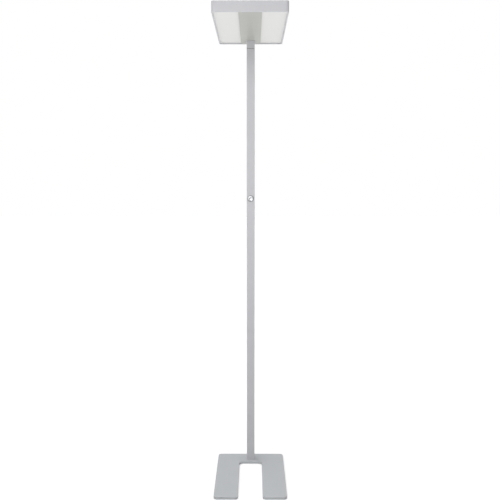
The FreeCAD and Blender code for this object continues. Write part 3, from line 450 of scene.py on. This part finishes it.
def joined(skins: Sequence[Skin]) -> Skin:
    """Puts several skins into one.

    Args:
        skins: the skins, in order.

    Returns:
        One skin, whose point numbers are shifted by the points before them.
    """
    starts = np.cumsum([0] + [len(skin.points) for skin in skins[:-1]])
    faces = [[int(start) + i for i in face] for start, skin in zip(starts, skins) for face in skin.faces]
    return Skin(np.vstack([skin.points for skin in skins]), faces)


def turned_skin(radii: np.ndarray, heights: np.ndarray, sides: int, flats: np.ndarray | None = None,
                ring: bool = False) -> Skin:
    """Skin through rings about Z, from the bottom, round the outside, to the top.

    The point at angle a on ring i is at radius r_i on a circle. On a ring with n flats it is at
    r_i / cos(((a + pi/n) mod 2pi/n) - pi/n), so that r_i is the distance to a flat.

    Args:
        radii: radius of each ring.
        heights: height of each ring.
        sides: points round a ring.
        flats: flats of each ring, 0 for a circle.
        ring: whether the last ring meets the first, as in a washer. Otherwise both ends are closed.

    Returns:
        The closed skin, its faces outwards.
    """
    angle = np.arange(sides) * 2 * np.pi / sides
    count = np.zeros(len(radii)) if flats is None else np.asarray(flats, dtype=float)
    step = np.pi / np.maximum(count, 1.0)[:, None]
    polygon = 1 / np.cos(np.mod(angle[None, :] + step, 2 * step) - step)
    radius = np.asarray(radii)[:, None] * np.where(count[:, None] > 0, polygon, 1.0)
    x, y = radius * np.cos(angle), radius * np.sin(angle)
    z = np.broadcast_to(np.asarray(heights)[:, None], x.shape)
    points = np.stack([x, y, z], axis=-1).reshape(-1, 3)
    rows = len(radii) if ring else len(radii) - 1
    row, column = np.meshgrid(np.arange(rows), np.arange(sides), indexing="ij")
    above, beside = (row + 1) % len(radii), (column + 1) % sides
    quads = np.stack([
        row * sides + column, row * sides + beside, above * sides + beside, above * sides + column,
    ], axis=-1)
    faces = quads.reshape(-1, 4).tolist()
    if not ring:
        faces.append(list(range(sides))[::-1])
        faces.append(list(range((len(radii) - 1) * sides, len(radii) * sides)))
    return Skin(points, faces)


def softened(
    corners: Sequence[tuple[float, float, float]], steps: int = 5, loop: bool = False,
) -> np.ndarray:
    """Rounds the corners of a profile with arcs.

    A corner between sides of directions u and v, with turn t, has its arc's ends r * tan(t / 2)
    from the corner; the arc is drawn as points between the two ends on a circle of radius r.

    Args:
        corners: radius or inset, height and rounding of each corner.
        steps: points on an arc, less one.
        loop: whether the profile closes on itself, so that its first and last corner are rounded too.

    Returns:
        The rounded profile, one row for each point.
    """
    places = np.array([corner[:2] for corner in corners], dtype=float)
    rows: list[np.ndarray] = []
    for i, (_, _, rounding) in enumerate(corners):
        ends = not loop and i in (0, len(corners) - 1)
        if rounding <= 0 or ends:
            rows.append(places[i][None, :])
            continue
        before, after = places[i - 1] - places[i], places[(i + 1) % len(places)] - places[i]
        before, after = before / np.linalg.norm(before), after / np.linalg.norm(after)
        half = math.acos(float(np.clip(before @ after, -1, 1))) / 2
        centre = places[i] + (before + after) / np.linalg.norm(before + after) * rounding / math.sin(half)
        start = places[i] + before * rounding / math.tan(half) - centre
        end = places[i] + after * rounding / math.tan(half) - centre
        share = np.linspace(0, 1, steps + 1)[:, None]
        sweep = math.pi - 2 * half
        arc = (np.sin((1 - share) * sweep) * start + np.sin(share * sweep) * end) / math.sin(sweep)
        rows.append(centre + arc)
    return np.vstack(rows)


def make_piece(
    name: str,
    skin: Skin,
    finish: Finish,
    body: str,
    crease: float = 35.0,
) -> bpy.types.Object:
    """Makes a piece of the lamp from a skin.

    Args:
        name: the piece's name.
        skin: its surface in the lamp's frame.
        finish: its finish.
        body: the body that it moves with.
        crease: edges with a turn over this many degrees stay sharp.

    Returns:
        The new object, at the origin.
    """
    mesh = bpy.data.meshes.new(name)
    mesh.from_pydata(skin.points.tolist(), [], skin.faces)
    mesh.shade_smooth()
    mesh.set_sharp_from_angle(angle=math.radians(crease))
    mesh.materials.append(finish.material())
    piece = bpy.data.objects.new(name, mesh)
    bpy.context.scene.collection.objects.link(piece)
    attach(piece, body)
    LOG.info("made %s with %d faces", name, len(skin.faces))
    return piece


# ---- Push button ----
@dataclass
class PushButton:
    """The round button in the pole: a ring with a soft rim and a dished cap that moves in it."""

    rim_width: float = 2.0 * MM    # ring's front, from bore to outer edge
    rim_overlap: float = 1.1 * MM  # ring's front over the edge of its hole
    rim_rounding: float = 0.12 * MM
    rim_edge: float = 0.4 * MM    # height of the ring's front at its outer edge
    cap_rounding: float = 0.3 * MM
    crest: float = 0.74            # share of the cap's radius where its face is highest
    crest_drop: float = 0.45 * MM  # from the crest to the cap's edge
    dish_depth: float = 1.2 * MM
    dish_flat: float = 0.1         # share of the cap's radius
    dish_steps: int = 14
    stop_width: float = 0.6 * MM   # stop rim, outside the cap's face
    stop_front: float = 3.2 * MM   # behind the cap's face
    stop_back: float = 4.6 * MM
    stem_radius: float = 2.6 * MM
    sides: int = 96

    def ring(self) -> None:
        """Makes the ring from the size of its solid.

        A neck goes through the wall, and the front is a shallow cone: its height falls in a
        straight line from the bore to the outer edge, with both edges softened.
        """
        low, high = (np.array(corner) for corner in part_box("button_bezel"))
        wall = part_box("pole_tube")[0][1]
        centre = ((low[0] + high[0]) / 2, wall, (low[2] + high[2]) / 2)
        rim, proud, deep = (high[0] - low[0]) / 2, wall - low[1], high[1] - wall
        bore, neck = rim - self.rim_width, rim - self.rim_overlap
        soft = self.rim_rounding
        profile = softened([
            (bore, -deep, 0), (neck, -deep, soft / 2), (neck, 0, 0), (rim, 0, 0),
            (rim, self.rim_edge, soft / 2), (bore, proud, soft),
        ], loop=True)
        skin = turned_skin(profile[:, 0], profile[:, 1], self.sides, ring=True)
        seated = skin.seated(Facing.FRONT, centre)
        # The ring's dark grey is painted shade: it stands in for the dark arc of shadow and reflection
        # round the button.
        piece = make_piece("button_ring", seated, SILVER_PLASTIC_PAINTED_SHADE, "stand")
        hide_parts("button_bezel")

    def cap(self) -> None:
        """Makes the cap from the size of its solid.

        With c the crest's radius, the face falls outside it as ((r - c) / (R - c)) ** 2 to the
        edge, and inside it as (1 - (r / c) ** 2) ** 2 into the dish. Stop and stem are behind.
        """
        low, high = (np.array(corner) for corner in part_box("button_cap"))
        stop, face, back = (high[0] - low[0]) / 2, low[1], high[1]
        radius = stop - self.stop_width
        centre = ((low[0] + high[0]) / 2, face, (low[2] + high[2]) / 2)
        crest = self.crest * radius
        across = np.concatenate([
            np.linspace(radius, crest, self.dish_steps)[2:],
            np.linspace(crest, self.dish_flat * radius, self.dish_steps)[1:],
        ])
        fall = -self.crest_drop * ((np.maximum(across, crest) - crest) / (radius - crest)) ** 2
        level = fall - self.dish_depth * (1 - (np.minimum(across, crest) / crest) ** 2) ** 2
        stem, front, rear = self.stem_radius, -self.stop_front, -self.stop_back
        sides = softened([
            (stem, face - back, 0), (stem, rear, self.cap_rounding), (stop, rear, 0), (stop, front, 0),
            (radius, front, 0), (radius, -self.crest_drop, self.cap_rounding), (across[0], level[0], 0),
        ])
        profile = np.vstack([sides, np.stack([across, level], axis=-1)[1:]])
        skin = turned_skin(profile[:, 0], profile[:, 1], self.sides)
        # Pale satin metal: soft glints, with the lathe's fine rings round the middle.
        finish = TurnedMetal(
            "aluminium_turned_satin", "#c9cacc", 0.38, metallic=1.0, drift=0.01, centre=centre)
        seated = skin.seated(Facing.FRONT, centre)
        piece = make_piece("button_dish", seated, finish, "button")
        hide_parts("button_cap")

    def build(self) -> None:
        """Makes ring and cap."""
        self.ring()
        self.cap()


# ---- Light chips ----
@dataclass
class LightRows:
    """Two rows of light chips on each upper board, under the clear panes."""

    rows: int = 2
    row_step: float = 11.0 * MM
    chips: int = 44                # in a row
    width: float = 3.0 * MM
    length: float = 3.4 * MM
    frame: float = 0.45 * MM       # white frame round the phosphor
    chamfer: float = 0.12 * MM
    sunk: float = 0.12 * MM
    field_edge: float = 1.15       # where the sunk field begins, times the frame's width

    def chip(self, height: float) -> Skin:
        """Returns one chip as five square rings: side, chamfer, frame's edge and the sunk field.

        Args:
            height: of the chip over the board.

        Returns:
            The chip about the origin, with its seat at z = 0. Its last face is the field.
        """
        half_size = np.array([self.width / 2, self.length / 2])
        corners = np.array([(-1, -1), (1, -1), (1, 1), (-1, 1)]) * half_size
        inward = np.array([0.0, 0.0, self.chamfer, self.frame, self.field_edge * self.frame])
        heights = np.array([0.0, height - self.chamfer, height, height, height - self.sunk])
        half = np.abs(corners)[None, :, :] - inward[:, None, None]
        flat = np.sign(corners)[None, :, :] * half
        level = np.broadcast_to(heights[:, None, None], (len(heights), 4, 1))
        points = np.concatenate([flat, level], axis=-1).reshape(-1, 3)
        row, column = np.meshgrid(np.arange(len(heights) - 1), np.arange(4), indexing="ij")
        beside = (column + 1) % 4
        start, above = row * 4, row * 4 + 4
        quads = np.stack([start + column, start + beside, above + beside, above + column], axis=-1)
        last = 4 * (len(heights) - 1)
        seat, phosphor = [3, 2, 1, 0], [last, last + 1, last + 2, last + 3]
        return Skin(points, [*quads.reshape(-1, 4).tolist(), seat, phosphor])

    def board(self, side: str) -> None:
        """Makes the rows on one board: the chip's points are repeated at each place on a grid.

        Args:
            side: left or right.
        """
        node = f"uplight_chips_{side}"
        low, high = (np.array(corner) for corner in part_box(node))
        one = self.chip(high[2] - low[2])
        across = (np.arange(self.rows) - (self.rows - 1) / 2) * self.row_step + (low[0] + high[0]) / 2
        along = np.linspace(low[1] + self.length / 2, high[1] - self.length / 2, self.chips)
        x, y = (grid.reshape(-1) for grid in np.meshgrid(across, along, indexing="ij"))
        places = np.stack([x, y, np.full_like(x, low[2])], axis=-1)
        chips = joined([one.seated(Facing.UP, place) for place in places])
        piece = make_piece(
            f"uplight_rows_{side}", chips, WHITE_PLASTIC, "stand", crease=25.0)
        piece.data.materials.append(PHOSPHOR.material())
        number = np.arange(len(piece.data.polygons))
        field_face = number % len(one.faces) == len(one.faces) - 1
        piece.data.polygons.foreach_set("material_index", field_face.astype(np.int32))
        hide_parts(node)

    def build(self) -> None:
        """Makes both boards' rows."""
        for side in ("left", "right"):
            self.board(side)


# ---- Screws and the cord's bush ----
@dataclass
class ScrewHead:
    """A screw's head with its socket, modelled about +Z with its seat at z = 0."""

    radius: float
    height: float
    recess: float                  # from the middle to a flat
    depth: float
    flats: int = 6                 # round the recess, as in a hexagon socket
    sides: int = 48

    def skin(self) -> Skin:
        """Returns the head as one skin: side, soft rim, face, and down the recess to its floor."""
        soft = 0.25 * self.height
        outer = softened([
            (self.radius, 0, 0), (self.radius, self.height, soft), (self.recess * 1.25, self.height, 0)])
        inner = np.array([
            (self.recess * 1.04, self.height), (self.recess, self.height - 0.05 * self.depth),
            (self.recess, self.height - self.depth), (self.recess * 0.1, self.height - 1.15 * self.depth),
        ])
        profile = np.vstack([outer, inner])
        flats = np.concatenate([np.zeros(len(outer)), np.full(len(inner), self.flats)])
        return turned_skin(profile[:, 0], profile[:, 1], self.sides, flats)


@dataclass
class SmallParts:
    """Screw heads on lid and pole, and the bush for the cord."""

    lid_head: ScrewHead = field(default_factory=lambda: ScrewHead(2.6 * MM, 0.3 * MM, 1.0 * MM, 1.1 * MM))
    set_head: ScrewHead = field(default_factory=lambda: ScrewHead(2.9 * MM, 0.2 * MM, 1.5 * MM, 2.4 * MM))
    seat: float = 0.02 * MM        # heads sit this deep in what they hold
    lid_columns: int = 3
    lid_inset: float = 5.5 * MM
    lid_corner: float = 22 * MM          # first screw of an end, from the lid's side
    pole_screw_drop: float = 29 * MM     # under the pole's top
    neck_screw_rise: float = 13 * MM     # over the neck's lower end
    bush_wall: float = 2.3 * MM          # round the bore, in the pole's wall
    bush_overlap: float = 2.5 * MM       # flange over the edge of its hole
    bush_rounding: float = 1.0 * MM
    bush_flare: float = 0.9 * MM
    bush_sides: int = 72

    def lid_screws(self) -> None:
        """Makes screws along the lid's two ends and halfway along its sides, over the frame's ledge."""
        low, high = (np.array(corner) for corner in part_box("head_frame"))
        x = np.linspace(low[0] + self.lid_corner, high[0] - self.lid_corner, self.lid_columns)
        front, rear = low[1] + self.lid_inset, high[1] - self.lid_inset
        ends = [(across, end) for end in (front, rear) for across in x]
        sides = [(side, 0.0) for side in (low[0] + self.lid_inset, high[0] - self.lid_inset)]
        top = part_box("top_cover")[1][2]
        head = self.lid_head.skin()
        skins = [head.seated(Facing.UP, (px, py, top - self.seat)) for px, py in ends + sides]
        make_piece("lid_screws", joined(skins), ZINC_PLATED, "stand")

    def set_screws(self) -> None:
        """Makes the two set screws in the rear faces of pole and neck, which hold the spigot."""
        (left, _, _), (right, rear, top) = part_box("pole_tube")
        middle = (left + right) / 2
        heights = (top - self.pole_screw_drop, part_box("neck_tube")[0][2] + self.neck_screw_rise)
        skins = [self.set_head.skin().seated(Facing.REAR, (middle, rear - self.seat, z)) for z in heights]
        make_piece("set_screws", joined(skins), ZINC_PLATED, "stand")

    def bush(self) -> None:
        """Makes the bush: a soft flange and a bore that opens to the rear in a flare."""
        low, high = (np.array(corner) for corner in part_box("cable_gland"))
        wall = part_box("pole_tube")[1][1]
        flange, proud, deep = (high[0] - low[0]) / 2, high[1] - wall, wall - low[1]
        neck = flange - self.bush_overlap
        bore = neck - self.bush_wall
        profile = softened([
            (bore, -deep, 0), (neck, -deep, 0.4 * self.bush_rounding), (neck, 0, 0), (flange, 0, 0),
            (flange, proud, self.bush_rounding), (bore, proud, self.bush_flare),
        ], loop=True)
        skin = turned_skin(profile[:, 0], profile[:, 1], self.bush_sides, ring=True)
        at = ((low[0] + high[0]) / 2, wall, (low[2] + high[2]) / 2)
        seated = skin.seated(Facing.REAR, at)
        piece = make_piece("cord_bush", seated, BLACK_PLASTIC, "stand")
        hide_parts("cable_gland")

    def build(self) -> None:
        """Makes all of them."""
        self.lid_screws()
        self.set_screws()
        self.bush()


# ---- Studio ----
@dataclass(frozen=True)
class SoftLight:
    """A square softbox: its name, place, what it looks at, side in metres, watts and spread."""

    name: str
    place: tuple[float, float, float]
    target: tuple[float, float, float]
    side: float
    watts: float
    spread_degrees: float = 40.0

    def build(self) -> None:
        """Hangs the light and turns it to its target."""
        lamp = bpy.data.lights.new(self.name, "AREA")
        lamp.size = self.side
        lamp.energy = self.watts
        lamp.spread = math.radians(self.spread_degrees)
        holder = bpy.data.objects.new(self.name, lamp)
        holder.location = self.place
        aim = np.array(self.target) - np.array(self.place)
        holder.rotation_euler = (
            math.acos(float(-aim[2] / np.linalg.norm(aim))), 0.0, math.atan2(aim[1], aim[0]) - math.pi / 2)
        bpy.context.scene.collection.objects.link(holder)


@dataclass
class Studio:
    """A white room without walls: pale floor, soft lights and the photograph's camera."""

    camera_place: tuple[float, float, float] = (0.0129, -2.8281, 1.3227)
    camera_pitch: float = 6.127    # degrees below the horizon
    camera_yaw: float = 0.3        # degrees to the left
    lens_mm: float = 49.194
    floor_side: float = 40.0
    floor_colour: str = "#d8d8d8"
    floor_glow: float = 0.462
    dim_centre: tuple[float, float, float] = (0.0, 0.25, 0.0)
    dim_to: tuple[float, float] = (0.36, 1.6)
    horizon: float = 0.03          # light from the side, where 1 is white
    zenith: float = 2.09           # light from overhead, on top of that
    focus: float = 3.0             # how closely that light gathers round overhead
    overhead: tuple[float, float, float] = (-0.16, 0.0, 0.987)
    lights: tuple[SoftLight, ...] = (
        SoftLight("front_softbox", (-0.8, -3.6, 2.28), (0.0, 0.2, 1.34), 1.6, 3.75),
        SoftLight("low_softbox", (-0.1, -3.1, 0.5), (0.0, -0.1, 0.03), 0.6, 0.17, 18.0),
    )

    def camera(self) -> None:
        """Sets up the camera."""
        lens = bpy.data.cameras.new("camera")
        lens.lens = self.lens_mm
        lens.sensor_width = 36.0
        holder = bpy.data.objects.new("camera", lens)
        holder.location = self.camera_place
        holder.rotation_euler = (math.radians(90 - self.camera_pitch), 0.0, math.radians(self.camera_yaw))
        bpy.context.scene.collection.objects.link(holder)
        bpy.context.scene.camera = holder

    def floor(self) -> None:
        """Lays the pale floor, a light table that is even to look at.

        As a light it glows less near the pole: its glow rises smoothly with the distance from
        dim_centre, from nothing at dim_to[0] to all of it at dim_to[1].
        """
        half = self.floor_side / 2
        points = np.array([(-1, -1, 0), (1, -1, 0), (1, 1, 0), (-1, 1, 0)]) * half
        mesh = bpy.data.meshes.new("studio_floor")
        mesh.from_pydata(points.tolist(), [], [[0, 1, 2, 3]])
        material = bpy.data.materials.new("studio_floor_pale")
        material.use_nodes = True
        tree = material.node_tree
        shader = tree.nodes["Principled BSDF"]
        shader.inputs["Base Color"].default_value = linear(self.floor_colour)
        shader.inputs["Roughness"].default_value = 0.9
        shader.inputs["Specular IOR Level"].default_value = 0.0
        shader.inputs["Emission Color"].default_value = WHITE
        away = add_node(tree, "VectorMath", {
            0: add_node(tree, "TexCoord").outputs["Object"], 1: self.dim_centre}, operation="DISTANCE")
        rise = add_node(tree, "MapRange", {
            "Value": away.outputs["Value"], "From Min": self.dim_to[0], "From Max": self.dim_to[1],
        }, interpolation_type="SMOOTHSTEP")
        seen = add_node(tree, "LightPath").outputs["Is Camera Ray"]
        share = add_node(tree, "Math", {0: seen, 1: rise.outputs["Result"]}, operation="MAXIMUM")
        glow = add_node(tree, "Math", {0: share.outputs[0], 1: self.floor_glow}, operation="MULTIPLY")
        tree.links.new(glow.outputs[0], shader.inputs["Emission Strength"])
        mesh.materials.append(material)
        floor = bpy.data.objects.new("studio_floor", mesh)
        bpy.context.scene.collection.objects.link(floor)

    def room(self) -> None:
        """Makes the room: white to look at, and as a light a wide softbox overhead.

        Its light is horizon + zenith * d ** focus, with d the part of the direction along overhead.
        """
        world = bpy.data.worlds.new("white_room")
        world.use_nodes = True
        tree = world.node_tree
        tree.nodes.clear()
        seen = add_node(tree, "LightPath").outputs["Is Camera Ray"]
        direction = add_node(tree, "VectorMath", {
            0: add_node(tree, "TexCoord").outputs["Generated"], 1: self.overhead}, operation="DOT_PRODUCT")
        upward = add_node(tree, "Math", {0: direction.outputs["Value"], 1: 0.0}, operation="MAXIMUM")
        gathered = add_node(tree, "Math", {0: upward.outputs[0], 1: self.focus}, operation="POWER")
        glow = add_node(tree, "Math", {
            0: gathered.outputs[0], 1: self.zenith, 2: self.horizon}, operation="MULTIPLY_ADD")
        light = add_node(tree, "Background", {"Color": WHITE, "Strength": glow.outputs[0]})
        white = add_node(tree, "Background", {"Color": WHITE, "Strength": 1.0})
        mix = add_node(tree, "MixShader", {0: seen, 1: light.outputs[0], 2: white.outputs[0]})
        add_node(tree, "OutputWorld", {"Surface": mix.outputs[0]})
        bpy.context.scene.world = world
        bpy.context.scene.view_settings.view_transform = "Standard"

    def build(self) -> None:
        """Sets up camera, floor, room and lights."""
        self.camera()
        self.floor()
        self.room()
        for light in self.lights:
            light.build()


def main() -> None:
    """Builds the lamp's looks in order."""
    logging.basicConfig(level=logging.INFO, format="%(name)s: %(message)s")
    Studio().build()
    dress_nodes()
    PushButton().build()
    LightRows().build()
    SmallParts().build()


if __name__ == "__main__":
    main()
